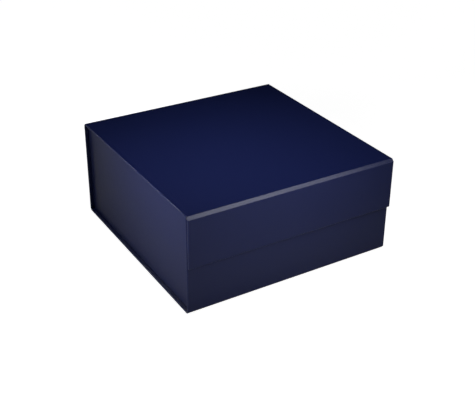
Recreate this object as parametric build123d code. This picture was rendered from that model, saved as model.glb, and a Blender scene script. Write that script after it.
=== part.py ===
"""Folding magnetic gift box, put up and closed.

Millimetres. X runs across the box, -Y is the front, where the flap hangs, and +Z is up.
The origin is on the underside, below the middle of the box.

A five-panel case of greyboard in navy paper makes the flap, lid, spine, base and front wall.
Two side walls stand on the base between the spine and the front wall. Their corner flaps are
folded in and taped to both. Magnets in the flap hold it to steel discs in the front wall.
"""

from build123d import *
import os
from math import sqrt

# Outside of the closed box
panel_width = 230.0
case_depth = 228.4
case_height = 105.0
flap_height = 53.7

# Boards and papers
board_thickness = 2.0
paper_thickness = 0.18
lining_thickness = 0.12
turn_in = 15.0
lining_margin = 2.5

# Gaps at the creases and between the panels that open
crease_relief = 0.52
flap_gap = 1.0
lid_gap = 0.3

# Side walls
side_recess = 3.75
side_tab = 11.0

# Corner flaps of the side walls, and the tape that holds them
corner_card = 1.3
corner_flap_width = 32.0
corner_flap_taper = 6.0
corner_flap_gap = 0.4
tape_thickness = 0.2
tape_width = 15.0
tape_margin = 8.0

# Closing magnets in the flap and steel discs in the front wall
magnet_radius = 5.0
magnet_thickness = 1.2
keeper_radius = 5.5
keeper_thickness = 1.0
pocket_clearance = 0.1
magnet_spacing = 140.0
magnet_rise = 8.0

# Layers of a panel, measured in from its outer face
board_outside = paper_thickness
board_inside = board_outside + board_thickness
turn_in_inside = board_inside + paper_thickness
panel = turn_in_inside + lining_thickness

# A crease cuts the corner between two panels by this leg, in outer paper and lining together
crease_leg = panel + crease_relief
crease_depth = (paper_thickness + lining_thickness) * sqrt(2)

# Faces of the case
half_width = panel_width / 2
board_half = half_width - paper_thickness
total_depth = case_depth + flap_gap + panel
flap_outside = -total_depth / 2
spine_outside = total_depth / 2
spine_inside = spine_outside - panel
front_outside = spine_outside - case_depth
front_inside = front_outside + panel
wall_top = case_height - panel - lid_gap

# Faces of the right side wall, which ends on its corner flaps
side_outside = half_width - side_recess
side_board_outside = side_outside - paper_thickness
side_board_inside = side_outside - board_inside
side_turn_in_inside = side_outside - turn_in_inside
side_inside = side_outside - panel
side_foot = turn_in_inside
tab_top = side_foot + paper_thickness
floor_top = tab_top + lining_thickness
corner_depth = tape_thickness + corner_card
side_run = (front_inside + corner_depth, spine_inside - corner_depth)


def block(x, y, z):
    """A block between the low and high ends given along each axis."""
    size = [high - low for low, high in (x, y, z)]
    return Pos(x[0], y[0], z[0]) * Box(*size, align=(Align.MIN, Align.MIN, Align.MIN))


def across(half, y, z):
    """A block that reaches equally far to the left and right of the middle."""
    return block((-half, half), y, z)


class Panel:
    """One board of the case with its paper and lining.

    Its own frame has X across the box, Y from its low edge to its high one, and Z out of its
    outer face. The paper is turned in round a free edge, and runs on over any other, a crease.
    """

    board_layer = (-board_inside, -board_outside)
    turn_in_layer = (-turn_in_inside, -board_inside)

    def __init__(self, corner, outward, length, free_low=False, free_high=False, lining_half=side_inside):
        self.frame = Plane(origin=corner, x_dir=(1, 0, 0), z_dir=outward)
        self.length = length
        self.free_low = free_low
        self.free_high = free_high
        self.lining_half = lining_half

    def run(self, from_free, from_crease):
        """The ends of a run along Y, set in from each edge by what that edge asks for."""
        low = from_free if self.free_low else from_crease
        high = from_free if self.free_high else from_crease
        return low, self.length - high

    def board(self):
        """Greyboard, short of a crease by the lining that goes down its edge."""
        return across(board_half, self.run(paper_thickness, lining_thickness), self.board_layer)

    def turned_in(self):
        """Outer paper turned in over the board along both ends and every free edge."""
        sheet = across(half_width, self.run(0, lining_thickness), self.turn_in_layer)
        return sheet - across(half_width - turn_in, self.run(turn_in, 0), self.turn_in_layer)

    def wrap(self):
        """Outer paper with what is turned in."""
        shell = across(half_width, (0, self.length), (-board_inside, 0))
        shell -= across(board_half, self.run(paper_thickness, 0), self.board_layer)
        return shell + self.turned_in()

    def lining(self, inside=panel):
        """Lining over the board and the turned-in paper, and down the board's edge at a crease."""
        sheet = across(self.lining_half, self.run(lining_margin, 0), (-inside, -board_inside))
        sheet -= self.turned_in()
        if not self.free_low:
            sheet += across(board_half, (0, lining_thickness), self.board_layer)
        if not self.free_high:
            sheet += across(board_half, (self.length - lining_thickness, self.length), self.board_layer)
        return sheet

    def place(self, piece):
        """A piece moved from the panel's frame to its place in the box."""
        return self.frame.location * piece


def disc(radius, x, y, layer):
    """A disc in a panel's frame, between two depths."""
    low, high = layer
    return Pos(x, y, low) * Cylinder(radius, high - low, align=(Align.CENTER, Align.CENTER, Align.MIN))


def crease(corner_y, corner_z, way_y, way_z):
    """Paper that cuts a corner of the case, from the edge of one panel to that of the next.

    The corner is where the outer faces would meet. The ways, +1 or -1, say on which side of it
    the panels lie.
    """
    on_y = (corner_y + way_y * crease_leg, corner_z)
    on_z = (corner_y, corner_z + way_z * crease_leg)
    under_z = (on_z[0] + way_y * crease_depth, on_z[1])
    under_y = (on_y[0], on_y[1] + way_z * crease_depth)
    section = Polygon(on_y, on_z, under_z, under_y, align=None)
    return extrude(Plane.YZ * section, amount=half_width, both=True)


def side_wall():
    """Board, outer paper and lining of the right side wall.

    The paper goes over the top edge and is turned in there, and its tab goes under the board
    and in below the floor lining.
    """
    card = block((side_board_inside, side_board_outside), side_run, (tab_top, wall_top - paper_thickness))
    turned_in = block((side_turn_in_inside, side_board_inside), side_run, (wall_top - turn_in, wall_top))
    paper = block((side_board_outside, side_outside), side_run, (side_foot, wall_top))
    paper += block((side_turn_in_inside, side_outside), side_run, (wall_top - paper_thickness, wall_top))
    paper += block((side_outside - side_tab, side_outside), side_run, (side_foot, tab_top))
    paper += turned_in
    sheet = block((side_inside, side_board_inside), side_run, (floor_top, wall_top - lining_margin))
    return card, paper, sheet - turned_in


def corner_flap(wall_inside, way):
    """Corner flap of the right side wall and its tape, on the inside of a wall of the case.

    The way is +1 where the tray lies on the +Y side of that wall, and -1 on the -Y side.
    """
    low = floor_top + corner_flap_gap
    high = wall_top - corner_flap_gap
    end = side_outside - corner_flap_width
    tape_low = (end + side_inside - tape_width) / 2
    outline = Polygon(
        (side_outside, low),
        (side_outside, high),
        (end + corner_flap_taper, high),
        (end, high - corner_flap_taper),
        (end, low + corner_flap_taper),
        (end + corner_flap_taper, low),
        align=None,
    )
    taped_face = wall_inside + way * tape_thickness
    face = Plane(origin=(0, taped_face, 0), x_dir=(1, 0, 0), z_dir=(0, -1, 0))
    card = extrude(face * outline, amount=-way * corner_card)
    strip = block(
        (tape_low, tape_low + tape_width),
        sorted((wall_inside, taped_face)),
        (low + tape_margin, high - tape_margin),
    )
    return card, strip


def build():
    """Every piece of the box by its name."""
    lid_edge = half_width - lining_margin
    panels = {
        "lid": Panel(
            (0, flap_outside + crease_leg, case_height),
            (0, 0, 1),
            total_depth - 2 * crease_leg,
            lining_half=lid_edge,
        ),
        "flap": Panel(
            (0, flap_outside, case_height - flap_height),
            (0, -1, 0),
            flap_height - crease_leg,
            free_low=True,
            lining_half=lid_edge,
        ),
        "spine": Panel(
            (0, spine_outside, case_height - crease_leg),
            (0, 1, 0),
            case_height - 2 * crease_leg,
        ),
        "base": Panel(
            (0, spine_outside - crease_leg, 0),
            (0, 0, -1),
            case_depth - 2 * crease_leg,
        ),
        "front_wall": Panel(
            (0, front_outside, crease_leg),
            (0, -1, 0),
            wall_top - crease_leg,
            free_high=True,
        ),
    }
    pieces = {}
    for name, one in panels.items():
        pieces[f"{name}_board"] = one.board()
        pieces[f"{name}_wrap"] = one.wrap()
        pieces[f"{name}_lining"] = one.lining(floor_top if name == "base" else panel)

    keeper_height = case_height - flap_height + magnet_rise - crease_leg
    for side, x in (("left", -magnet_spacing / 2), ("right", magnet_spacing / 2)):
        magnet_layer = (-board_inside, -board_inside + magnet_thickness)
        keeper_layer = (-board_outside - keeper_thickness, -board_outside)
        pieces["flap_board"] -= disc(magnet_radius + pocket_clearance, x, magnet_rise, magnet_layer)
        pieces["front_wall_board"] -= disc(keeper_radius + pocket_clearance, x, keeper_height, keeper_layer)
        magnet = disc(magnet_radius, x, magnet_rise, magnet_layer)
        keeper = disc(keeper_radius, x, keeper_height, keeper_layer)
        pieces[f"flap_magnet_{side}"] = magnet
        pieces[f"front_wall_keeper_{side}"] = keeper

    for name in pieces:
        panel_name = max((key for key in panels if name.startswith(key)), key=len)
        pieces[name] = panels[panel_name].place(pieces[name])

    pieces["flap_crease"] = crease(flap_outside, case_height, 1, -1)
    pieces["lid_crease"] = crease(spine_outside, case_height, -1, -1)
    pieces["base_rear_crease"] = crease(spine_outside, 0, -1, 1)
    pieces["base_front_crease"] = crease(front_outside, 0, 1, 1)

    right_side = dict(zip(("board", "wrap", "lining"), side_wall()))
    for place, wall_inside, way in (("front", front_inside, 1), ("rear", spine_inside, -1)):
        card, strip = corner_flap(wall_inside, way)
        right_side[f"{place}_corner_flap"] = card
        right_side[f"{place}_tape"] = strip
    for name, piece in right_side.items():
        pieces[f"right_side_{name}"] = piece
        pieces[f"left_side_{name}"] = mirror(piece, about=Plane.YZ)

    floor = pieces.pop("base_lining")
    pieces["floor_lining"] = floor - pieces["right_side_wrap"] - pieces["left_side_wrap"]
    return pieces


if __name__ == "__main__":
    os.makedirs("parts", exist_ok=True)
    for node, piece in build().items():
        export_step(piece, f"parts/{node}.step")
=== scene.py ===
"""Looks of the folding magnetic gift box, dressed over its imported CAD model.

Metres, in the CAD frame: X runs across the box, -Y is the front, where the flap hangs, +Z is up,
and the box stands on the floor at zero. Papers are sheets of their real thickness, folded round
the boards that the frame holds. A depth is measured in from the outer face of a panel.
"""

import logging
import math
from dataclasses import dataclass, replace
from enum import Enum
from typing import Optional, Sequence, Union

import bmesh
import bpy
from mathutils import Matrix, Vector


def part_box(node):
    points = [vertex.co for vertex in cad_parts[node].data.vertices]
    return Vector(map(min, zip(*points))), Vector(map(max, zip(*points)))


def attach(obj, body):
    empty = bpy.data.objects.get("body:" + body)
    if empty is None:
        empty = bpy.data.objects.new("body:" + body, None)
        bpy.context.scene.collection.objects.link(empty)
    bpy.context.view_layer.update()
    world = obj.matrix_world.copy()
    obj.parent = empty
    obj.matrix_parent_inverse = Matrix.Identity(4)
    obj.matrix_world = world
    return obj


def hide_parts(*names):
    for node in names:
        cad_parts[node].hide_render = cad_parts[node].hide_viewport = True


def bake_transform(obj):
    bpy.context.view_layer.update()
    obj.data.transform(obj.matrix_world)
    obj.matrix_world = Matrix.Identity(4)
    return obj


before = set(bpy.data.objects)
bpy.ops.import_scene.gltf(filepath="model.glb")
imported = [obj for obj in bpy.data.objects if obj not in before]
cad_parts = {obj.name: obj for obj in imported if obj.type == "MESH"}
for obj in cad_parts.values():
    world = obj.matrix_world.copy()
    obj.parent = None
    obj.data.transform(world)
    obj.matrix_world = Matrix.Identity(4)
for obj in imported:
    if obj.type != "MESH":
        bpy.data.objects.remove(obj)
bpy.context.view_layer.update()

log = logging.getLogger("gift_box")

Pair = tuple[float, float]
Spot = tuple[float, float, float]
Row = tuple[Sequence[Vector], Union[float, Sequence[float]]]

MILLIMETRE = 0.001
TOUCHING = 1e-7
SMOOTH_ANGLE = math.radians(35)
CREASE_BEND = math.radians(45)
WHITE = (1.0, 1.0, 1.0, 1.0)
BLACK = (0.0, 0.0, 0.0, 1.0)
FOLD = "fold"


class Facing(Enum):
    """Ways that an outer face can look."""

    UP = (0.0, 0.0, 1.0)
    DOWN = (0.0, 0.0, -1.0)
    FRONT = (0.0, -1.0, 0.0)
    REAR = (0.0, 1.0, 0.0)
    LEFT = (-1.0, 0.0, 0.0)
    RIGHT = (1.0, 0.0, 0.0)


class Body(Enum):
    """Parts of the box that move as one."""

    TRAY = "tray"
    LID = "lid"
    FLAP = "flap"


class Slot(Enum):
    """Names of slots for the finishes of the pieces made here."""

    WRAP = "navy_wrap"
    CREASE = "crease_paper"
    LINING = "navy_lining"
    CORNER_FLAP = "corner_flap_card"


@dataclass(frozen=True)
class Marks:
    """Marks all over a surface: their size in metres, and what they do to it.

    The height is in millimetres, and the dulling is added to the roughness. The share is how much
    of another colour they bring in. Stops sharpen the marks to flecks.
    """

    size: float
    detail: float = 3.0
    height: float = 0.0
    dulling: float = 0.0
    share: float = 0.0
    stretch: tuple = (1.0, 1.0, 1.0)
    stops: tuple = ()


class Term:
    """A shader socket that sums can be done on: each operator adds its Math node."""

    def __init__(self, shader: "Shader", socket: bpy.types.NodeSocket) -> None:
        """Wraps an output socket of a shader's node."""
        self.shader = shader
        self.socket = socket

    def maths(self, operation: str, first: "Value", second: "Value") -> "Term":
        """Adds a Math node that does an operation on two inputs, and gives its result."""
        return self.shader.node("ShaderNodeMath", {"operation": operation}, {0: first, 1: second})[0]

    def __add__(self, other: "Value") -> "Term":
        """This and another added."""
        return self.maths("ADD", self, other)

    def __radd__(self, other: "Value") -> "Term":
        """Another and this added."""
        return self.maths("ADD", other, self)

    def __sub__(self, other: "Value") -> "Term":
        """This less another."""
        return self.maths("SUBTRACT", self, other)

    def __rsub__(self, other: "Value") -> "Term":
        """Another less this."""
        return self.maths("SUBTRACT", other, self)

    def __mul__(self, other: "Value") -> "Term":
        """This times another."""
        return self.maths("MULTIPLY", self, other)

    def __rmul__(self, other: "Value") -> "Term":
        """Another times this."""
        return self.maths("MULTIPLY", other, self)


Value = Union[Term, float, Sequence[float]]


class Outputs:
    """The outputs of a node, as terms, by number, identifier or name."""

    def __init__(self, shader: "Shader", node: bpy.types.Node) -> None:
        """Keeps the node that the outputs belong to."""
        self.shader = shader
        self.node = node

    def __getitem__(self, key: Union[int, str]) -> Term:
        """The output that the key says."""
        return Term(self.shader, self.shader.socket_of(self.node.outputs, key))


class Shader:
    """The node tree of a material or of the world, built from expressions."""

    def __init__(self, tree: bpy.types.NodeTree) -> None:
        """Starts from an empty tree."""
        self.tree = tree
        self.tree.nodes.clear()

    def node(self, kind: str, settings: Optional[dict] = None, inputs: Optional[dict] = None) -> Outputs:
        """Adds a node.

        Args:
            kind: The node's type.
            settings: Its own settings, set first. Stops are those of a colour ramp.
            inputs: Values or terms for its sockets, by number, identifier or name.

        Returns:
            The node's outputs.
        """
        made = self.tree.nodes.new(kind)
        for name, setting in (settings or {}).items():
            if name == "stops":
                self.set_stops(made, setting)
            else:
                setattr(made, name, setting)
        for key, value in (inputs or {}).items():
            socket = self.socket_of(made.inputs, key)
            if isinstance(value, Term):
                self.tree.links.new(value.socket, socket)
            else:
                socket.default_value = value
        return Outputs(self, made)

    @staticmethod
    def socket_of(sockets: bpy.types.bpy_prop_collection, key: Union[int, str]) -> bpy.types.NodeSocket:
        """Finds a socket.

        Args:
            sockets: The inputs or the outputs of a node.
            key: Its number, or its identifier, or else its name.

        Returns:
            The socket.
        """
        for socket in sockets:
            if socket.identifier == key:
                return socket
        return sockets[key]

    @staticmethod
    def set_stops(node: bpy.types.Node, stops: Sequence[Pair]) -> None:
        """Gives a colour ramp its stops.

        Args:
            node: The ramp.
            stops: The place and the grey of each stop, from low to high.
        """
        elements = node.color_ramp.elements
        while len(elements) > len(stops):
            elements.remove(elements[-1])
        while len(elements) < len(stops):
            elements.new(1.0)
        for element, (place, grey) in zip(elements, stops):
            element.position = place
            element.color = (grey, grey, grey, 1.0)

    def place(self) -> Term:
        """Where a point lies in its piece, in metres."""
        return self.node("ShaderNodeTexCoord")["Object"]

    def stretched(self, scale: Sequence[float], turn: float = 0.0) -> Term:
        """Coordinates scaled along each axis, and then turned about each axis, in radians."""
        inputs = {"Vector": self.place(), "Scale": tuple(scale), "Rotation": (turn, turn, turn)}
        return self.node("ShaderNodeMapping", {"vector_type": "POINT"}, inputs)["Vector"]

    def noise(self, size: float, detail: float, where: Term) -> Term:
        """Noise about a half, whose marks have a size in the units of its coordinates."""
        inputs = {"Vector": where, "Scale": 1.0 / size, "Detail": detail}
        return self.node("ShaderNodeTexNoise", {"noise_dimensions": "3D"}, inputs)[0]

    def ramp(self, term: Term, stops: Sequence[Pair]) -> Term:
        """A value put through a ramp, which has a place and a grey for each stop."""
        return self.node("ShaderNodeValToRGB", {"stops": stops}, {"Fac": term})["Color"]

    def marks(self, kind: Marks) -> Term:
        """The marks of a kind, from 0 to 1."""
        noise = self.noise(kind.size, kind.detail, self.stretched(kind.stretch))
        return self.ramp(noise, kind.stops) if kind.stops else noise

    def mixed(self, share: Value, first: Value, second: Value) -> Term:
        """A mix of two colours, with a share of the second one."""
        inputs = {"Factor_Float": share, "A_Color": first, "B_Color": second}
        return self.node("ShaderNodeMix", {"data_type": "RGBA", "clamp_factor": True}, inputs)["Result_Color"]

    def bumped(self, millimetres: Term) -> Term:
        """A normal that follows a height over the surface, in millimetres."""
        inputs = {"Strength": 1.0, "Distance": MILLIMETRE, "Height": millimetres}
        return self.node("ShaderNodeBump", None, inputs)["Normal"]

    def camera_ray(self) -> Term:
        """1 for the camera's own rays and 0 for all others."""
        return self.node("ShaderNodeLightPath")["Is Camera Ray"]


class Finish:
    """A finish, which makes its Blender material once."""

    title: str = "finish"

    def material(self) -> bpy.types.Material:
        """Makes the finish's material at its first use.

        Returns:
            The material.
        """
        found = bpy.data.materials.get(self.title)
        if found:
            return found
        made = bpy.data.materials.new(self.title)
        made.use_nodes = True
        shader = Shader(made.node_tree)
        surface = shader.node("ShaderNodeBsdfPrincipled", None, self.surface(shader))["BSDF"]
        shader.node("ShaderNodeOutputMaterial", None, {"Surface": surface})
        return made

    def surface(self, shader: Shader) -> dict:
        """Builds in a tree what the inputs of the surface's shader need, and gives them by name."""
        raise NotImplementedError


@dataclass(frozen=True)
class LaminatedPaper(Finish):
    """Dyed paper under a matt film: satin, with fine grain and a little scuffing at the folds."""

    title: str = "navy_laminated_paper"
    colour: tuple = (0.0105, 0.0165, 0.084, 1.0)
    deep_colour: tuple = (0.0090, 0.0145, 0.074, 1.0)
    scuffed_colour: tuple = (0.050, 0.060, 0.135, 1.0)
    roughness: float = 0.30
    index: float = 1.48
    grain: Marks = Marks(0.00035, height=0.0035, dulling=0.07)
    mottle: Marks = Marks(0.004, 2.0, height=0.004)
    cloud: Marks = Marks(0.03, dulling=0.05)
    wave: Marks = Marks(0.07, 0.0, height=0.12)
    scuff: Marks = Marks(0.0016, 4.0, dulling=0.10, share=0.30, stops=((0.46, 0.0), (0.74, 1.0)))

    def surface(self, shader: Shader) -> dict:
        """Colour, sheen and grain of the laminated paper.

        Args:
            shader: The tree to build in.

        Returns:
            The inputs of the surface's shader, by name.
        """
        grain, cloud = shader.marks(self.grain), shader.marks(self.cloud)
        fold = shader.node("ShaderNodeAttribute", {"attribute_name": FOLD})["Fac"]
        scuff = fold * shader.marks(self.scuff)
        dyed = shader.mixed(0.5 * cloud + 0.5 * grain, self.deep_colour, self.colour)
        uneven = self.cloud.dulling * (cloud - 0.5) + self.grain.dulling * (grain - 0.5)
        return {
            "Base Color": shader.mixed(self.scuff.share * scuff, dyed, self.scuffed_colour),
            "Roughness": self.roughness + uneven + self.scuff.dulling * scuff,
            "IOR": self.index,
            "Normal": shader.bumped(self.relief(shader, grain)),
        }

    def relief(self, shader: Shader, grain: Term) -> Term:
        """How high the film's grain stands on the mottle and wave of the board under it."""
        mottle, wave = shader.marks(self.mottle), shader.marks(self.wave)
        return self.grain.height * grain + self.mottle.height * mottle + self.wave.height * wave


@dataclass(frozen=True)
class CreasedPaper(LaminatedPaper):
    """The same paper where it is folded over a crease, with hair lines pressed along the fold."""

    title: str = "navy_creased_paper"
    lines: Marks = Marks(0.0009, 2.0, height=0.06, dulling=0.10, stretch=(0.02, 1.0, 1.0))

    def surface(self, shader: Shader) -> dict:
        """Dulls the laminated paper by the lines along the fold.

        Args:
            shader: The tree to build in.

        Returns:
            The inputs of the surface's shader, by name.
        """
        inputs = super().surface(shader)
        lines = shader.marks(self.lines)
        inputs["Roughness"] = inputs["Roughness"] + self.lines.dulling * (lines - 0.5)
        return inputs

    def relief(self, shader: Shader, grain: Term) -> Term:
        """How high the film's grain stands on the lines along the fold."""
        return self.lines.height * shader.marks(self.lines) + self.grain.height * grain


@dataclass(frozen=True)
class PlainPaper(Finish):
    """Uncoated dyed paper of the inside, with a tooth of fibres along and across it."""

    title: str = "navy_plain_paper"
    colour: tuple = (0.0115, 0.0170, 0.066, 1.0)
    fibre_colour: tuple = (0.0200, 0.0270, 0.086, 1.0)
    roughness: float = 0.78
    index: float = 1.45
    tooth: Marks = Marks(0.00012, 2.0, height=0.02, dulling=0.1, share=0.55, stops=((0.52, 0.0), (0.62, 1.0)))
    fibre_length: float = 0.0016
    fibre_turns: tuple = (0.5, 1.1, 2.0)
    cloud: Marks = Marks(0.012, height=0.006, share=0.25)
    wave: Marks = Marks(0.08, 0.0, height=0.10)

    def surface(self, shader: Shader) -> dict:
        """Colour, fibres and tooth of the plain paper.

        Args:
            shader: The tree to build in.

        Returns:
            The inputs of the surface's shader, by name.
        """
        slim = self.tooth.size / self.fibre_length
        scales = ((slim, 1.0, 1.0), (1.0, slim, 1.0), (1.0, 1.0, slim))
        fibres = [
            shader.noise(self.tooth.size, self.tooth.detail, shader.stretched(scale, turn))
            for scale, turn in zip(scales, self.fibre_turns)
        ]
        tooth = (fibres[0] + fibres[1] + fibres[2]) * (1 / 3)
        cloud, wave = shader.marks(self.cloud), shader.marks(self.wave)
        pale = self.tooth.share * shader.ramp(tooth, self.tooth.stops) + self.cloud.share * cloud
        relief = self.tooth.height * tooth + self.cloud.height * cloud + self.wave.height * wave
        return {
            "Base Color": shader.mixed(pale, self.colour, self.fibre_colour),
            "Roughness": self.roughness + self.tooth.dulling * (tooth - 0.5),
            "IOR": self.index,
            "Normal": shader.bumped(relief),
        }


@dataclass(frozen=True)
class PaperCore(Finish):
    """The pale inside of a dyed paper, which shows frayed where it is cut."""

    title: str = "paper_core"
    colour: tuple = (0.20, 0.21, 0.26, 1.0)
    marked_colour: tuple = (0.05, 0.06, 0.12, 1.0)
    roughness: float = 0.85
    marks: Marks = Marks(0.0003, height=0.02, dulling=0.1)

    def surface(self, shader: Shader) -> dict:
        """Colour and tooth of the surface, which its marks change.

        Args:
            shader: The tree to build in.

        Returns:
            The inputs of the surface's shader, by name.
        """
        marks = shader.marks(self.marks)
        return {
            "Base Color": shader.mixed(marks, self.colour, self.marked_colour),
            "Roughness": self.roughness + self.marks.dulling * (marks - 0.5),
            "Normal": shader.bumped(self.marks.height * marks),
        }


@dataclass(frozen=True)
class TapeFilm(PaperCore):
    """Double-sided tape, a milky film whose marks are streaks of glue."""

    title: str = "tape_film"
    colour: tuple = (0.52, 0.49, 0.40, 1.0)
    marked_colour: tuple = (0.62, 0.57, 0.42, 1.0)
    roughness: float = 0.42
    marks: Marks = Marks(0.0012, height=0.012, dulling=0.2, stretch=(1.0, 1.0, 0.1))


@dataclass(frozen=True)
class Greyboard(Finish):
    """Board of pulped waste paper, with dark and pale flecks."""

    title: str = "greyboard_pulp"
    colour: tuple = (0.245, 0.225, 0.195, 1.0)
    pale_colour: tuple = (0.42, 0.40, 0.36, 1.0)
    dark_colour: tuple = (0.075, 0.068, 0.060, 1.0)
    roughness: float = 0.92
    pulp: Marks = Marks(0.0015, 4.0, height=0.05, dulling=0.08, share=0.2)
    pale: Marks = Marks(0.0022, share=0.6, stops=((0.60, 0.0), (0.70, 1.0)))
    dark: Marks = Marks(0.0017, share=0.5, stops=((0.30, 1.0), (0.38, 0.0)))

    def surface(self, shader: Shader) -> dict:
        """Colour, flecks and tooth of the board.

        Args:
            shader: The tree to build in.

        Returns:
            The inputs of the surface's shader, by name.
        """
        pulp, pale, dark = (shader.marks(kind) for kind in (self.pulp, self.pale, self.dark))
        flecked = shader.mixed(self.pale.share * pale, self.colour, self.pale_colour)
        darkening = self.dark.share * dark + self.pulp.share * pulp
        return {
            "Base Color": shader.mixed(darkening, flecked, self.dark_colour),
            "Roughness": self.roughness + self.pulp.dulling * (pulp - 0.5),
            "Normal": shader.bumped(self.pulp.height * pulp),
        }


@dataclass(frozen=True)
class PlatedMetal(Finish):
    """Plated metal with fine turning marks and a few cloudy stains."""

    title: str = "nickel_plate"
    colour: tuple = (0.63, 0.60, 0.55, 1.0)
    stained_colour: tuple = (0.46, 0.43, 0.39, 1.0)
    roughness: float = 0.22
    turning: Marks = Marks(0.0004, 2.0, height=0.002, dulling=0.10, stretch=(0.08, 1.0, 1.0))
    stain: Marks = Marks(0.003, dulling=0.10)

    def surface(self, shader: Shader) -> dict:
        """Colour, polish and marks of the metal.

        Args:
            shader: The tree to build in.

        Returns:
            The inputs of the surface's shader, by name.
        """
        turning, stain = shader.marks(self.turning), shader.marks(self.stain)
        uneven = self.turning.dulling * (turning - 0.5) + self.stain.dulling * (stain - 0.5)
        return {
            "Base Color": shader.mixed(stain, self.colour, self.stained_colour),
            "Metallic": 1.0,
            "Roughness": self.roughness + uneven,
            "Normal": shader.bumped(self.turning.height * turning),
        }


@dataclass(frozen=True)
class StudioFloor(Finish):
    """Pale floor that keeps the shadow of the box, and is white to the camera further out."""

    title: str = "floor"
    grey: float = 0.50
    roughness: float = 0.6
    near: float = 0.20
    far: float = 0.45
    near_glow: float = 0.93

    def surface(self, shader: Shader) -> dict:
        """Colour of the floor, and its glow.

        Args:
            shader: The tree to build in.

        Returns:
            The inputs of the surface's shader, by name.
        """
        reach = shader.node("ShaderNodeVectorMath", {"operation": "LENGTH"}, {0: shader.place()})["Value"]
        out = (reach - self.near) * (1 / (self.far - self.near))
        outer = shader.node("ShaderNodeClamp", None, {"Value": out})[0]
        glow = self.near_glow + (1 - self.near_glow) * outer
        return {
            "Base Color": (self.grey, self.grey, self.grey, 1.0),
            "Roughness": self.roughness,
            "Emission Color": shader.mixed(glow * shader.camera_ray(), BLACK, WHITE),
            "Emission Strength": 1.0,
        }


WRAP = LaminatedPaper()
CREASE = CreasedPaper()
LINING = PlainPaper()
CORE = PaperCore()
CORNER_CARD = LaminatedPaper("corner_flap_paper", roughness=0.46)
BOARD = Greyboard()
TAPE = TapeFilm()
NICKEL = PlatedMetal()
ZINC = PlatedMetal(
    "zinc_plate",
    (0.52, 0.54, 0.56, 1.0),
    (0.38, 0.40, 0.42, 1.0),
    roughness=0.34,
    turning=replace(NICKEL.turning, size=0.0006),
)


@dataclass(frozen=True)
class Placed:
    """The box of a CAD node, looked at from outside.

    x runs across the face from its middle, y along it from its low edge, and depth runs in.
    """

    origin: Vector
    across: Vector
    along: Vector
    outward: Vector
    half: float
    length: float
    depth: float

    @classmethod
    def of(cls, node: str, facing: Facing) -> "Placed":
        """Reads a node's box.

        Args:
            node: The CAD node.
            facing: The way that its outer face looks.

        Returns:
            The node's place.
        """
        low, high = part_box(node)
        size = high - low
        outward = Vector(facing.value)
        across = Vector((1, 0, 0)) if outward.z else Vector((0, 0, 1)).cross(outward)
        along = outward.cross(across)
        half, length, depth = (abs(size.dot(way)) for way in (across / 2, along, outward))
        origin = (low + high) / 2 + outward * depth / 2 - along * length / 2
        return cls(origin, across, along, outward, half, length, depth)

    def point(self, x: float, y: float, depth: float) -> Vector:
        """The point that lies there, in the row frame."""
        return self.origin + self.across * x + self.along * y - self.outward * depth

    def depth_of(self, point: Vector) -> float:
        """How deep a point of the row frame lies."""
        return (self.origin - point).dot(self.outward)


@dataclass(frozen=True)
class Stock:
    """Papers and board that the box is made from, and how they are worked."""

    paper: float
    lining: float
    board: float
    turn_in: float = 0.015
    margin: float = 0.0025
    fold_radius: float = 0.0006
    corner_radius: float = 0.0007
    step_run: float = 0.0012
    fold_steps: int = 5

    @classmethod
    def from_frame(cls) -> "Stock":
        """Reads the thicknesses off the lid.

        Returns:
            The stock.
        """
        wrap_low, wrap_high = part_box("lid_wrap")
        board_low, board_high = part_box("lid_board")
        lining_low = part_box("lid_lining")[0]
        return cls(wrap_high.z - board_high.z, wrap_low.z - lining_low.z, board_high.z - board_low.z)

    @property
    def wrapped(self) -> float:
        """Thickness of the board with paper on both faces."""
        return self.board + 2 * self.paper

    @property
    def lined(self) -> float:
        """Depth of the lining where it lies right on the board."""
        return self.board + self.paper + self.lining

    def step_down(self, height: float) -> list[Pair]:
        """The line in which a lining steps down off the turned-in paper.

        Args:
            height: How high the step is.

        Returns:
            How far in from the edge and how deep it lies, from the paper to the board.
        """
        made = []
        for step in range(self.fold_steps + 1):
            share = step / self.fold_steps
            inset = self.turn_in + self.step_run * (share - 0.5)
            made.append((inset, self.lined + height * (1 - eased(share))))
        return made


def eased(share: float) -> float:
    """A smooth step from 0 to 1."""
    return share * share * (3 - 2 * share)


def rounded_path(corners: Sequence[Pair], radius: float, steps: int) -> list[Spot]:
    """A path with its inner corners rounded.

    Args:
        corners: The path's ends and the corners between them.
        radius: The radius at each corner.
        steps: How many lines each rounding is made of.

    Returns:
        Its points, each with 1 if it lies on a rounding and 0 if not.
    """
    path = [(*corners[0], 0.0)]
    for before, corner, after in zip(corners, corners[1:], corners[2:]):
        here = Vector(corner)
        back = (Vector(before) - here).normalized()
        ahead = (Vector(after) - here).normalized()
        half_angle = back.angle(ahead) / 2
        centre = here + (back + ahead).normalized() * radius / math.sin(half_angle)
        start = here + back * radius / math.tan(half_angle) - centre
        end = here + ahead * radius / math.tan(half_angle) - centre
        for step in range(steps + 1):
            path.append((*(centre + start.slerp(end, step / steps) * radius), 1.0))
    path.append((*corners[-1], 0.0))
    return path


def round_edge(near: float, depth: float, far: float) -> tuple[Pair, ...]:
    """Corners, by distance in and depth, of a path out over a face, down its edge and in behind it."""
    return (near, 0.0), (0.0, 0.0), (0.0, depth), (far, depth)


def both_ways(path: Sequence[tuple]) -> list[tuple]:
    """A path from the middle to one end, with its mirror image before it."""
    return [(-x, *rest) for x, *rest in reversed(path)] + list(path)


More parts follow.
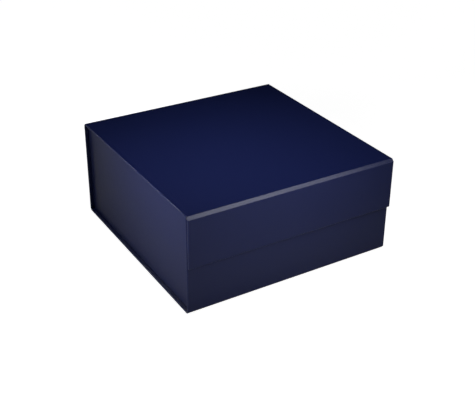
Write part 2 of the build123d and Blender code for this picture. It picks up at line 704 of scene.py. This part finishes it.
def divided(path: Sequence[tuple], longest: float) -> list[tuple[float, ...]]:
    """A path with points put into its long runs.

    Args:
        path: The path.
        longest: The most that may lie between two points.

    Returns:
        The path's points with the new ones.
    """
    made = [path[0]]
    for before, after in zip(path, path[1:]):
        count = max(1, math.ceil(math.dist(before[:2], after[:2]) / longest))
        for step in range(1, count + 1):
            share = step / count
            made.append(tuple(a + (b - a) * share for a, b in zip(before, after)))
    return made


def rounded_outline(corners: Sequence[Pair], inset: float, radius: float, steps: int) -> list[Pair]:
    """A convex outline moved in and rounded at its corners.

    Args:
        corners: The outline's corners, anticlockwise.
        inset: How far it is moved in.
        radius: The radius that the corners have where nothing is moved in.
        steps: How many lines each rounding is made of.

    Returns:
        The points of the outline, as many for each inset.
    """
    rounding = max(radius - inset, 0.0)
    points = []
    for number, corner in enumerate(corners):
        here = Vector(corner)
        before = here - Vector(corners[number - 1])
        after = Vector(corners[(number + 1) % len(corners)]) - here
        inward = [Vector((-way.y, way.x)).normalized() for way in (before, after)]
        shift = (inward[0] + inward[1]) / (1 + inward[0].dot(inward[1]))
        centre = here + shift * (inset + rounding)
        for step in range(steps + 1):
            points.append(tuple(centre - inward[0].slerp(inward[1], step / steps) * rounding))
    return points


@dataclass(frozen=True)
class Mark:
    """A round mark in paper that lies deeper over a disc."""

    x: float
    y: float
    radius: float
    deeper: float
    run: float = 0.0020
    step: float = 0.0007

    @property
    def reach(self) -> int:
        """How many steps the mark reaches out from its middle."""
        return math.ceil((self.radius + self.run / 2) / self.step)

    def deeper_at(self, distance: float) -> float:
        """How much deeper the paper lies at a distance from the middle."""
        share = (self.radius + self.run / 2 - distance) / self.run
        return self.deeper * eased(min(max(share, 0.0), 1.0))


class Sheet:
    """A sheet of paper that is built as a skin of faces, and then given its thickness."""

    def __init__(self, rows: Sequence[Row], closed: bool = False, capped: Sequence[int] = ()) -> None:
        """Puts faces between rows of points.

        Args:
            rows: Rows of as many points each, in order, with how sharply the paper is folded in
                each: from 0 where it lies flat to 1, for the whole row or for each point.
            closed: Whether a row's last point is joined to its first.
            capped: The numbers of the rows that a face fills.
        """
        self.mesh = bmesh.new()
        layer = self.mesh.verts.layers.float.new(FOLD)
        made = []
        for points, fold in rows:
            made.append([self.mesh.verts.new(point) for point in points])
            folds = [fold] * len(points) if isinstance(fold, float) else fold
            for vert, share in zip(made[-1], folds):
                vert[layer] = share
        for low, high in zip(made, made[1:]):
            count = len(low)
            for here in range(count if closed else count - 1):
                there = (here + 1) % count
                self.mesh.faces.new((low[here], low[there], high[there], high[here]))
        for number in capped:
            self.mesh.faces.new(made[number])

    def split(self, faces: Sequence, point: Vector, away: Vector, clear: bool = False) -> None:
        """Splits faces along a plane.

        Args:
            faces: The faces.
            point: A point on the plane.
            away: The way to one side of it.
            clear: Whether what lies on that side is cut off.
        """
        verts = {vert for face in faces for vert in face.verts}
        edges = {edge for face in faces for edge in face.edges}
        bmesh.ops.bisect_plane(
            self.mesh,
            geom=[*verts, *edges, *faces],
            dist=TOUCHING,
            plane_co=point,
            plane_no=away,
            clear_outer=clear,
        )

    def cut(self, point: Vector, away: Vector) -> None:
        """Cuts the sheet off along a plane, on the side that away points to."""
        self.split(self.mesh.faces[:], point, away, clear=True)

    def press(self, mark: Mark, placed: Placed, depth: float) -> None:
        """Presses a round mark into a flat, on a fine grid of faces.

        Args:
            mark: The mark.
            placed: The panel that it is in.
            depth: The depth of the flat.
        """
        centre = placed.point(mark.x, mark.y, depth)
        ways = (placed.across, placed.along)
        reach = mark.reach * mark.step - TOUCHING

        def near(face: bmesh.types.BMFace) -> bool:
            """Tells which faces are to be divided.

            Args:
                face: A face.

            Returns:
                Whether it lies in the flat and reaches into the grid.
            """
            spots = [vert.co - centre for vert in face.verts]
            if max(abs(spot.dot(placed.outward)) for spot in spots) > TOUCHING:
                return False
            spans = [[spot.dot(way) for spot in spots] for way in ways]
            return all(min(span) < reach and max(span) > -reach for span in spans)

        cuts = [(way, number) for number in range(-mark.reach, mark.reach + 1) for way in ways]
        for way, number in sorted(cuts, key=lambda one: -abs(one[1])):
            close = [face for face in self.mesh.faces if near(face)]
            self.split(close, centre + way * number * mark.step, way)
        for vert in {vert for face in self.mesh.faces if near(face) for vert in face.verts}:
            vert.co -= placed.outward * mark.deeper_at((vert.co - centre).length)

    def turned_down(self, placed: Placed, point: Vector, depth: float, half: float, radius: float) -> None:
        """Carries the sheet on over the edge of its board, where it was cut off at a crease.

        Args:
            placed: The panel.
            point: A point on the cut.
            depth: The depth that the sheet goes on to.
            half: Half the width that it has there.
            radius: The radius at which it turns.
        """
        rim = [
            edge
            for edge in self.mesh.edges
            if edge.is_boundary and all(abs((v.co - point).dot(placed.along)) < TOUCHING for v in edge.verts)
        ]
        made = bmesh.ops.extrude_edge_only(self.mesh, edges=rim)["geom"]
        for vert in [item for item in made if isinstance(item, bmesh.types.BMVert)]:
            x = (vert.co - placed.origin).dot(placed.across)
            if len(vert.link_faces) == 1:
                vert.co += placed.across * (math.copysign(half, x) - x)
            vert.co += placed.outward * (placed.depth_of(vert.co) - depth)
        bmesh.ops.bevel(self.mesh, geom=rim, offset=radius, segments=3, affect="EDGES", profile=0.5)

    def finished(self, name: str, looks: Vector, thickness: float, *finishes: Finish) -> bpy.types.Object:
        """Makes the piece.

        Args:
            name: The piece's name.
            looks: The way that its largest face looks.
            thickness: How thick the sheet is behind its faces, or 0 where they close a solid.
            finishes: The finish of its faces, and of its cut edges if that is another.

        Returns:
            The new object.
        """
        bmesh.ops.remove_doubles(self.mesh, verts=self.mesh.verts[:], dist=TOUCHING)
        bmesh.ops.recalc_face_normals(self.mesh, faces=self.mesh.faces[:])
        largest = max(self.mesh.faces, key=lambda face: face.calc_area())
        if thickness and largest.normal.dot(looks) < 0:
            bmesh.ops.reverse_faces(self.mesh, faces=self.mesh.faces[:])
        data = bpy.data.meshes.new(name)
        self.mesh.to_mesh(data)
        self.mesh.free()
        made = added(name, data)
        dress(made, *finishes)
        if thickness:
            solid = made.modifiers.new("thickness", "SOLIDIFY")
            solid.thickness = thickness
            solid.offset = -1.0
            solid.material_offset_rim = len(finishes) - 1
            settle(made)
        smooth(made)
        return made


def added(name: str, data: bpy.types.ID) -> bpy.types.Object:
    """Makes an object and puts it in the scene.

    Args:
        name: The object's name.
        data: Its mesh, camera or light.

    Returns:
        The object.
    """
    made = bpy.data.objects.new(name, data)
    bpy.context.scene.collection.objects.link(made)
    return made


def settle(piece: bpy.types.Object) -> None:
    """Works a piece's modifiers into its mesh.

    Args:
        piece: The piece.
    """
    graph = bpy.context.evaluated_depsgraph_get()
    source = piece.evaluated_get(graph)
    final = bpy.data.meshes.new_from_object(source, preserve_all_data_layers=True, depsgraph=graph)
    before = piece.data
    piece.modifiers.clear()
    piece.data = final
    bpy.data.meshes.remove(before)
    final.name = piece.name


def smooth(piece: bpy.types.Object) -> None:
    """Shades a piece smooth, apart from its sharp edges, with its flats kept flat.

    Args:
        piece: The piece.
    """
    mesh = bmesh.new()
    mesh.from_mesh(piece.data)
    for face in mesh.faces:
        face.smooth = True
    for edge in mesh.edges:
        edge.smooth = len(edge.link_faces) == 2 and edge.calc_face_angle() < SMOOTH_ANGLE
    mesh.to_mesh(piece.data)
    mesh.free()
    piece.modifiers.new("flat_faces", "WEIGHTED_NORMAL").keep_sharp = True
    settle(piece)


def dress(piece: bpy.types.Object, *finishes: Finish) -> None:
    """Gives a piece its materials.

    Args:
        piece: The piece.
        finishes: The finish of its faces, and of its cut edges if that is another.
    """
    piece.data.materials.clear()
    for finish in finishes:
        piece.data.materials.append(finish.material())


def dress_node(node: str, finish: Finish) -> None:
    """Gives a CAD node its finish."""
    dress(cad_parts[node], finish)
    log.info("%s: CAD node, finished as %s", node, finish.title)


def install(piece: bpy.types.Object, body: Body, node: str) -> None:
    """Lets a piece ride on its body in the place of its CAD node.

    Args:
        piece: The piece.
        body: The body that it moves with.
        node: The CAD node that it stands for.
    """
    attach(piece, body.value)
    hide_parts(node)
    log.info("%s: %d faces, rides on %s", piece.name, len(piece.data.polygons), body.value)


@dataclass
class CasePanel:
    """A panel of the case: board, outer paper turned in round it, and lining."""

    name: str
    facing: Facing
    body: Body
    stock: Stock
    free_low: bool = False
    free_high: bool = False
    lining_node: str = ""
    lining_half: float = 0.0
    lining_step: float = 0.0
    outer_marks: tuple = ()
    inner_marks: tuple = ()
    run_on: float = 0.03

    def __post_init__(self) -> None:
        """Reads the panel's place off the frame, and fills in what wasn't given."""
        self.placed = Placed.of(f"{self.name}_wrap", self.facing)
        self.lining_node = self.lining_node or f"{self.name}_lining"
        self.lining_half = self.lining_half or self.placed.half - self.stock.margin
        self.lining_step = self.lining_step or self.stock.paper

    def loop(self, inset: float, depth: float, fold: float = 0.0, slimmer: float = 0.0) -> Row:
        """Works out a row of points round the panel, which runs on past its creases.

        Args:
            inset: How far in from the panel's free edges it lies.
            depth: How deep it lies.
            fold: 1 where the paper is folded there.
            slimmer: How much nearer to the middle its ends are, beyond the inset.

        Returns:
            The row.
        """
        half = self.placed.half - slimmer
        low = 0.0 if self.free_low else -self.run_on
        high = self.placed.length + (0.0 if self.free_high else self.run_on)
        corners = ((-half, low), (half, low), (half, high), (-half, high))
        outline = rounded_outline(corners, inset, self.stock.corner_radius, self.stock.fold_steps)
        return [self.placed.point(x, y, depth) for x, y in outline], fold

    def creases(self) -> list[tuple[Vector, Vector]]:
        """Lists the creases that the panel ends at.

        Returns:
            A point on each crease, and the way across it.
        """
        made = []
        if not self.free_low:
            made.append((self.placed.point(0, 0, 0), -self.placed.along))
        if not self.free_high:
            made.append((self.placed.point(0, self.placed.length, 0), self.placed.along))
        return made

    def outer_paper(self) -> bpy.types.Object:
        """Builds the outer paper, round the board and turned in.

        Returns:
            The paper.
        """
        stock = self.stock
        corners = round_edge(2 * stock.fold_radius, stock.wrapped, stock.turn_in)
        path = rounded_path(corners, stock.fold_radius, stock.fold_steps)
        sheet = Sheet([self.loop(*spot) for spot in path], closed=True, capped=(0,))
        for mark in self.outer_marks:
            sheet.press(mark, self.placed, 0.0)
        for point, away in self.creases():
            sheet.cut(point, away)
        return sheet.finished(f"{self.name}_outer_paper", self.placed.outward, stock.paper, WRAP)

    def inner_lining(self) -> bpy.types.Object:
        """Builds the lining, over the turned-in paper and down the board's edges at creases.

        Returns:
            The lining.
        """
        stock = self.stock
        over_paper = stock.lined + self.lining_step
        board_half = self.placed.half - stock.paper
        slimmer = self.placed.half - self.lining_half - stock.margin
        rows = [self.loop(stock.margin, over_paper, slimmer=slimmer)]
        rows += [self.loop(*spot) for spot in stock.step_down(self.lining_step)]
        sheet = Sheet(rows, closed=True, capped=(-1,))
        for mark in self.inner_marks:
            sheet.press(mark, self.placed, over_paper)
        for point, away in self.creases():
            sheet.cut(point, away)
            sheet.turned_down(self.placed, point, stock.paper, board_half, stock.lining)
        name = self.lining_node.replace("_lining", "_inner_lining")
        return sheet.finished(name, -self.placed.outward, stock.lining, LINING, CORE)

    def build(self) -> None:
        """Builds and dresses the panel's papers, and finishes its board."""
        install(self.outer_paper(), self.body, f"{self.name}_wrap")
        install(self.inner_lining(), self.body, self.lining_node)
        dress_node(f"{self.name}_board", BOARD)


@dataclass
class Crease:
    """Paper and lining that cross a corner of the case, with the paper folded in at both ends.

    The paper runs on from a panel by the shoulder before it bends. Its ends are folded in to a
    depth of so many papers. A use says how much of the room at a fold its rounding takes up, and
    the wear is how sharply folded the paper counts at least.
    """

    node: str
    stock: Stock
    first: Facing
    second: Facing
    body: Body
    far_body: Optional[Body] = None
    shoulder: float = 0.0002
    shoulder_use: float = 0.95
    bend_steps: int = 4
    longest: float = 0.0003
    wear: float = 0.25
    end_papers: float = 2.3
    end_use: float = 0.49

    def __post_init__(self) -> None:
        """Works out the line that the outer paper takes round the corner, and the way in from it."""
        low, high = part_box(self.node)
        ways = [Vector(facing.value) for facing in (self.first, self.second)]
        self.leg = high.z - low.z
        middle = Vector((0.0, (low.y + high.y) / 2, (low.z + high.z) / 2))
        self.half = high.x
        self.outward = ways[0] + ways[1]
        corner = middle + self.outward * self.leg / 2
        outer, inner = self.line(0.0), self.line(self.stock.paper)
        path = [(*one[:2], other[0] - one[0], other[1] - one[1]) for one, other in zip(outer, inner)]
        self.section = []
        for first_run, second_run, first_in, second_in in divided(path, self.longest):
            way_in = (-ways[1] * first_in - ways[0] * second_in).normalized()
            self.section.append((corner - ways[1] * first_run - ways[0] * second_run, way_in))

    @property
    def end_depth(self) -> float:
        """Depth of an end of the paper that is folded in."""
        return self.end_papers * self.stock.paper

    @property
    def end_edge(self) -> float:
        """How far out from the middle a folded-in end begins."""
        return self.half - self.stock.turn_in

    def line(self, depth: float) -> list[Spot]:
        """Works out the line round the corner.

        Args:
            depth: How deep it lies under the outer face.

        Returns:
            Its points, as the runs back from the corner on both panels.
        """
        slope = math.tan(CREASE_BEND / 2)
        shoulder = self.leg - self.shoulder + depth * slope
        corners = ((self.leg, depth), (shoulder, depth), (depth, shoulder), (depth, self.leg))
        return rounded_path(corners, self.shoulder_use * self.shoulder / slope - depth, self.bend_steps)

    def swept(self, across: Sequence[Spot]) -> Sheet:
        """Sweeps a path round the corner.

        Args:
            across: The path's points: how far across, how deep, and how sharply folded.

        Returns:
            The sheet that it makes.
        """
        folds = [max(fold, self.wear) for x, depth, fold in across]
        rows = []
        for point, way_in in self.section:
            spots = [point + way_in * depth + Vector((x, 0.0, 0.0)) for x, depth, fold in across]
            rows.append((spots, folds))
        return Sheet(rows)

    def paper(self) -> bpy.types.Object:
        """Builds the outer paper, with its ends folded in.

        Returns:
            The paper.
        """
        inner = self.end_depth
        corners = both_ways(((self.half, 0.0), (self.half, inner), (self.end_edge, inner)))
        sheet = self.swept(rounded_path(corners, self.end_use * inner, self.stock.fold_steps))
        return sheet.finished(f"{self.node}_paper", self.outward, self.stock.paper, CREASE)

    def lining(self) -> bpy.types.Object:
        """Builds the lining of the crease, over the ends that are folded in.

        Returns:
            The lining.
        """
        stock = self.stock
        inner, middle = self.end_depth + stock.lining, stock.paper + stock.lining
        half_run = stock.step_run / 2
        side = (
            (self.end_edge - half_run, middle, 0.0),
            (self.end_edge + half_run, inner, 0.0),
            (self.half - stock.margin, inner, 0.0),
        )
        sheet = self.swept(both_ways(side))
        return sheet.finished(f"{self.node}_lining", -self.outward, stock.lining, LINING)

    def build(self) -> None:
        """Builds both layers, which ride on the crease's body, or at a hinge are left where they lie."""
        for piece, slot in ((self.paper(), Slot.CREASE), (self.lining(), Slot.LINING)):
            if self.far_body:
                start, end = self.section[0][0], self.section[-1][0]
                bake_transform(piece)
            else:
                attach(piece, self.body.value)
            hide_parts(self.node)
            log.info("%s: %d faces, crosses a crease", piece.name, len(piece.data.polygons))


@dataclass
class SideWall:
    """A side wall of the tray, with the two corner flaps that are taped to its neighbours."""

    side: Facing
    stock: Stock
    taper: float = 0.006
    card_radius: float = 0.0004
    card_corner: float = 0.0012

    def __post_init__(self) -> None:
        """Reads the wall's place off the frame."""
        self.name = f"{self.side.name.lower()}_side"
        self.placed = Placed.of(f"{self.name}_wrap", self.side)

    def swept(self, path: Sequence[Spot]) -> Sheet:
        """A sheet along the wall, from a path of heights, depths and how sharply it is folded there."""
        ends = (-self.placed.half, self.placed.half)
        return Sheet([([self.placed.point(x, y, depth) for x in ends], fold) for y, depth, fold in path])

    def outer_paper(self) -> bpy.types.Object:
        """Builds the outer paper, from the tab under the board to the edge turned in at the top.

        Returns:
            The paper.
        """
        stock, top = self.stock, self.placed.length
        corners = (
            (0.0, self.placed.depth),
            (0.0, 0.0),
            (top, 0.0),
            (top, stock.wrapped),
            (top - stock.turn_in, stock.wrapped),
        )
        sheet = self.swept(rounded_path(corners, stock.fold_radius, stock.fold_steps))
        return sheet.finished(f"{self.name}_outer_paper", self.placed.outward, stock.paper, WRAP)

    def inner_lining(self) -> bpy.types.Object:
        """Builds the lining, from the floor to just under the top edge.

        Returns:
            The lining.
        """
        stock = self.stock
        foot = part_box(f"{self.name}_wrap")[0].z
        low, high = (corner.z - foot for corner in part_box(f"{self.name}_lining"))
        path = [(high, stock.wrapped + stock.lining, 0.0)]
        path += [(self.placed.length - inset, depth, 0.0) for inset, depth in stock.step_down(stock.paper)]
        path.append((low, stock.lined, 0.0))
        sheet = self.swept(path[::-1])
        return sheet.finished(f"{self.name}_inner_lining", -self.placed.outward, stock.lining, LINING, CORE)

    def corner_flap(self, end: str, facing: Facing) -> bpy.types.Object:
        """Builds a corner flap, card in navy paper with its free corners cut off.

        Args:
            end: The end of the wall that it is at.
            facing: The way that its taped face looks.

        Returns:
            The corner flap.
        """
        placed = Placed.of(f"{self.name}_{end}_corner_flap", facing)
        half, top, taper = placed.half, placed.length, self.taper
        corners = [(-half, 0.0), (half - taper, 0.0), (half, taper)]
        corners += [(half, top - taper), (half - taper, top), (-half, top)]
        if placed.across.dot(self.placed.outward) > 0:
            corners = [(-x, y) for x, y in reversed(corners)]
        edge = round_edge(2 * self.card_radius, placed.depth, 2 * self.card_radius)
        rows = []
        for inset, depth, fold in rounded_path(edge, self.card_radius, self.stock.fold_steps):
            outline = rounded_outline(corners, inset, self.card_corner, self.stock.fold_steps)
            rows.append(([placed.point(x, y, depth) for x, y in outline], fold))
        sheet = Sheet(rows, closed=True, capped=(0, -1))
        return sheet.finished(f"{self.name}_{end}_corner_flap_card", placed.outward, 0.0, CORNER_CARD)

    def build(self) -> None:
        """Builds and dresses the wall and its corner flaps, and finishes its board and tapes."""
        install(self.outer_paper(), Body.TRAY, f"{self.name}_wrap")
        install(self.inner_lining(), Body.TRAY, f"{self.name}_lining")
        dress_node(f"{self.name}_board", BOARD)
        for end, facing in (("front", Facing.FRONT), ("rear", Facing.REAR)):
            flap = self.corner_flap(end, facing)
            install(flap, Body.TRAY, f"{self.name}_{end}_corner_flap")
            dress_node(f"{self.name}_{end}_tape", TAPE)


@dataclass
class Closing:
    """Magnets in the flap and steel discs in the front wall, and the marks they leave."""

    sides: tuple = ("left", "right")
    magnet_rise: float = 0.00006
    keeper_sink: float = 0.00004

    def marks(self, panel: str, disc: str, deeper: float) -> tuple[Mark, ...]:
        """The marks that a pair of discs leaves in the paper over it.

        Args:
            panel: The panel that holds the discs.
            disc: What they are called.
            deeper: How much deeper the paper lies over a disc.

        Returns:
            A mark for each disc.
        """
        face = Placed.of(f"{panel}_wrap", Facing.FRONT)
        made = []
        for side in self.sides:
            placed = Placed.of(f"{panel}_{disc}_{side}", Facing.FRONT)
            centre = placed.point(0, placed.length / 2, 0) - face.origin
            made.append(Mark(centre.dot(face.across), centre.dot(face.along), placed.half, deeper))
        return tuple(made)

    def build(self) -> None:
        """Finishes the discs."""
        for side in self.sides:
            dress_node(f"flap_magnet_{side}", NICKEL)
            dress_node(f"front_wall_keeper_{side}", ZINC)


@dataclass(frozen=True)
class PhotoCamera:
    """Camera at the photograph's viewing angle, aimed from the middle of the tray's foot."""

    azimuth: float = -32.725
    elevation: float = 27.735
    roll: float = 1.212
    distance: float = 0.97499
    aside: float = 0.02861
    above: float = 0.05243
    lens: float = 68.69
    sensor: float = 36.0
    shift_x: float = -0.0474
    shift_y: float = -0.0421

    def build(self) -> None:
        """Makes the camera and gives it to the scene."""
        azimuth, elevation = math.radians(self.azimuth), math.radians(self.elevation)
        level = math.cos(elevation)
        back = Vector((math.sin(azimuth) * level, -math.cos(azimuth) * level, math.sin(elevation)))
        right = Vector((math.cos(azimuth), math.sin(azimuth), 0.0))
        up = back.cross(right)
        foot = Vector((0.0, (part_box("front_wall_wrap")[0].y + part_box("spine_wrap")[1].y) / 2, 0.0))
        data = bpy.data.cameras.new("photo_camera")
        data.lens, data.sensor_width = self.lens, self.sensor
        data.shift_x, data.shift_y = self.shift_x, self.shift_y
        camera = added("photo_camera", data)
        axes = Matrix((right, up, back)).transposed() @ Matrix.Rotation(math.radians(self.roll), 3, "Z")
        place = foot + back * self.distance + right * self.aside + up * self.above
        camera.matrix_world = Matrix.Translation(place) @ axes.to_4x4()
        bpy.context.scene.camera = camera
        log.info("camera at %.3f, %.3f, %.3f m", *place)


@dataclass(frozen=True)
class SoftLight:
    """A soft box of light."""

    name: str
    place: tuple
    aim: tuple
    width: float
    height: float
    power: float
    spread: float

    def build(self) -> None:
        """Makes the light."""
        data = bpy.data.lights.new(self.name, "AREA")
        data.shape = "RECTANGLE"
        data.size, data.size_y = self.width, self.height
        data.energy = self.power
        data.spread = math.radians(self.spread)
        light = added(self.name, data)
        light.location = self.place
        way = Vector(self.aim) - Vector(self.place)
        light.rotation_euler = way.to_track_quat("-Z", "Y").to_euler()
        light.visible_camera = False


@dataclass(frozen=True)
class Studio:
    """Floor, white surround and soft lights."""

    floor_half: float = 6.0
    surround: float = 0.002
    lights: tuple = (
        SoftLight("lid_pool", (-0.03, -0.03, 0.45), (-0.03, -0.03, 0.10), 0.22, 0.22, 0.122, 74),
        SoftLight("crease_box", (0.19, -0.36, 0.48), (0.0, -0.11, 0.10), 0.26, 0.18, 0.145, 80),
        SoftLight("left_grid", (-0.80, -0.20, 0.22), (-0.11, -0.06, 0.15), 0.20, 0.20, 0.165, 24),
        SoftLight("front_grid", (0.02, -0.80, 0.22), (-0.01, -0.115, 0.15), 0.20, 0.20, 0.066, 20),
        SoftLight("rear_grid", (-0.10, 0.80, 0.06), (0.0, 0.116, 0.06), 0.30, 0.06, 0.115, 30),
        SoftLight("right_grid", (0.80, 0.05, 0.06), (0.115, 0.0, 0.06), 0.30, 0.06, 0.115, 30),
        SoftLight("rear_pool", (0.02, 0.33, 0.52), (0.02, 0.33, 0.0), 0.16, 0.16, 0.045, 36),
        SoftLight("edge_box", (-0.55, 0.62, 0.52), (-0.12, 0.0, 0.14), 0.14, 0.14, 0.022, 16),
        SoftLight("side_floor", (-0.62, 0.06, 0.50), (-0.47, 0.10, 0.0), 0.30, 0.30, 0.34, 56),
        SoftLight("rear_floor", (-0.52, 0.58, 0.50), (-0.44, 0.48, 0.0), 0.30, 0.30, 0.24, 86),
        SoftLight("front_floor", (0.14, -0.70, 0.50), (0.08, -0.52, 0.0), 0.30, 0.30, 0.36, 64),
        SoftLight("corner_floor", (-0.46, -0.36, 0.40), (-0.30, -0.23, 0.0), 0.12, 0.12, 0.040, 40),
    )

    def floor(self) -> None:
        """Makes the floor."""
        half = self.floor_half
        data = bpy.data.meshes.new("floor")
        corners = [(-half, -half, 0), (half, -half, 0), (half, half, 0), (-half, half, 0)]
        data.from_pydata(corners, [], [(0, 1, 2, 3)])
        floor = added("floor", data)
        dress(floor, StudioFloor())

    def world(self) -> None:
        """Makes the surround, white to the camera and dim to all else."""
        made = bpy.data.worlds.new("surround")
        made.use_nodes = True
        bpy.context.scene.world = made
        shader = Shader(made.node_tree)
        grey = (self.surround, self.surround, self.surround, 1.0)
        inputs = {"Color": shader.mixed(shader.camera_ray(), grey, WHITE), "Strength": 1.0}
        shown = shader.node("ShaderNodeBackground", None, inputs)["Background"]
        shader.node("ShaderNodeOutputWorld", None, {"Surface": shown})

    def build(self) -> None:
        """Sets up the studio."""
        bpy.context.scene.view_settings.view_transform = "Standard"
        self.floor()
        self.world()
        for light in self.lights:
            light.build()
        log.info("studio with %d lights", len(self.lights))


def main() -> None:
    """Builds the studio and the box, piece by piece."""
    logging.basicConfig(level=logging.INFO, format="%(message)s")
    PhotoCamera().build()
    Studio().build()

    stock = Stock.from_frame()
    tray_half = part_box("right_side_lining")[0].x
    closing = Closing()
    magnet_marks = closing.marks("flap", "magnet", closing.magnet_rise)
    keeper_marks = closing.marks("front_wall", "keeper", closing.keeper_sink)
    tray = {"body": Body.TRAY, "stock": stock, "lining_half": tray_half}
    panels = (
        CasePanel("lid", Facing.UP, Body.LID, stock),
        CasePanel("flap", Facing.FRONT, Body.FLAP, stock, free_low=True, inner_marks=magnet_marks),
        CasePanel("spine", Facing.REAR, **tray),
        CasePanel("base", Facing.DOWN, **tray, lining_node="floor_lining", lining_step=2 * stock.paper),
        CasePanel("front_wall", Facing.FRONT, **tray, free_high=True, outer_marks=keeper_marks),
    )
    creases = (
        Crease("flap_crease", stock, Facing.UP, Facing.FRONT, Body.LID, Body.FLAP),
        Crease("lid_crease", stock, Facing.UP, Facing.REAR, Body.LID, Body.TRAY),
        Crease("base_rear_crease", stock, Facing.REAR, Facing.DOWN, Body.TRAY),
        Crease("base_front_crease", stock, Facing.FRONT, Facing.DOWN, Body.TRAY),
    )
    walls = (SideWall(Facing.LEFT, stock), SideWall(Facing.RIGHT, stock))
    for part in (*panels, *creases, *walls, closing):
        part.build()


if __name__ == "__main__":
    main()
